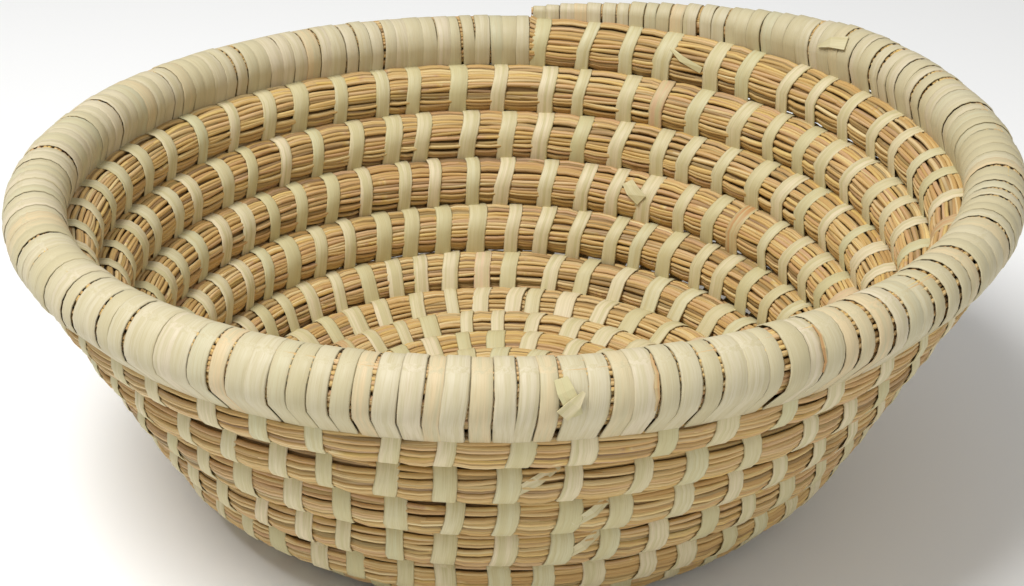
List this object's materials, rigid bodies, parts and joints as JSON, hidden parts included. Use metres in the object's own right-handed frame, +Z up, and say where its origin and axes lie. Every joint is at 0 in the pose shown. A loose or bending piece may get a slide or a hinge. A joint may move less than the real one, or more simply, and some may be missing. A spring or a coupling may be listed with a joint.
{
  "type": "coiled straw basket",
  "caption": "Round open basket of coiled straw, sewn with pale palm-leaf strip, with a flat floor, a flaring wall and a fully wrapped rim.",
  "frame": {"origin": "centre of the coil's spiral, on the plane of the underside that the basket rests on", "axes": "+Z up, out of the open top; +Y to the side where the wrapping of the rim starts and its tapered end lies; +X to the right seen from the -Y side"},
  "size_m": [0.3009, 0.298, 0.1125],
  "materials": {
    "straw": "bundle of dry straw, tan with pink-brown and golden stalks, satin",
    "stitch_leaf": "palm-leaf strip, cream with a green-ivory cast, fine lengthwise grain, satin",
    "rim_leaf": "palm-leaf strip, pale cream, smooth, satin"
  },
  "bodies": {
    "root": {"floor_coil_1": "straw", "floor_coil_2": "straw", "floor_coil_3": "straw", "floor_coil_4": "straw", "floor_coil_5": "straw", "floor_coil_6": "straw", "floor_coil_7": "straw", "wall_coil_1": "straw", "wall_coil_2": "straw", "wall_coil_3": "straw", "wall_coil_4": "straw", "wall_coil_5": "straw", "rim_coil": "straw", "rim_taper": "straw", "floor_stitches_1": "stitch_leaf", "floor_stitches_2": "stitch_leaf", "floor_stitches_3": "stitch_leaf", "floor_stitches_4": "stitch_leaf", "floor_stitches_5": "stitch_leaf", "floor_stitches_6": "stitch_leaf", "floor_stitches_7": "stitch_leaf", "wall_stitches_1": "stitch_leaf", "wall_stitches_2": "stitch_leaf", "wall_stitches_3": "stitch_leaf", "wall_stitches_4": "stitch_leaf", "wall_stitches_5": "stitch_leaf", "rim_wrap_back_left": "rim_leaf", "rim_wrap_back_right": "rim_leaf", "rim_wrap_front_left": "rim_leaf", "rim_wrap_front_right": "rim_leaf", "rim_wrap_taper": "rim_leaf", "folded_strip_ends": "stitch_leaf"}
  },
  "joints": []
}
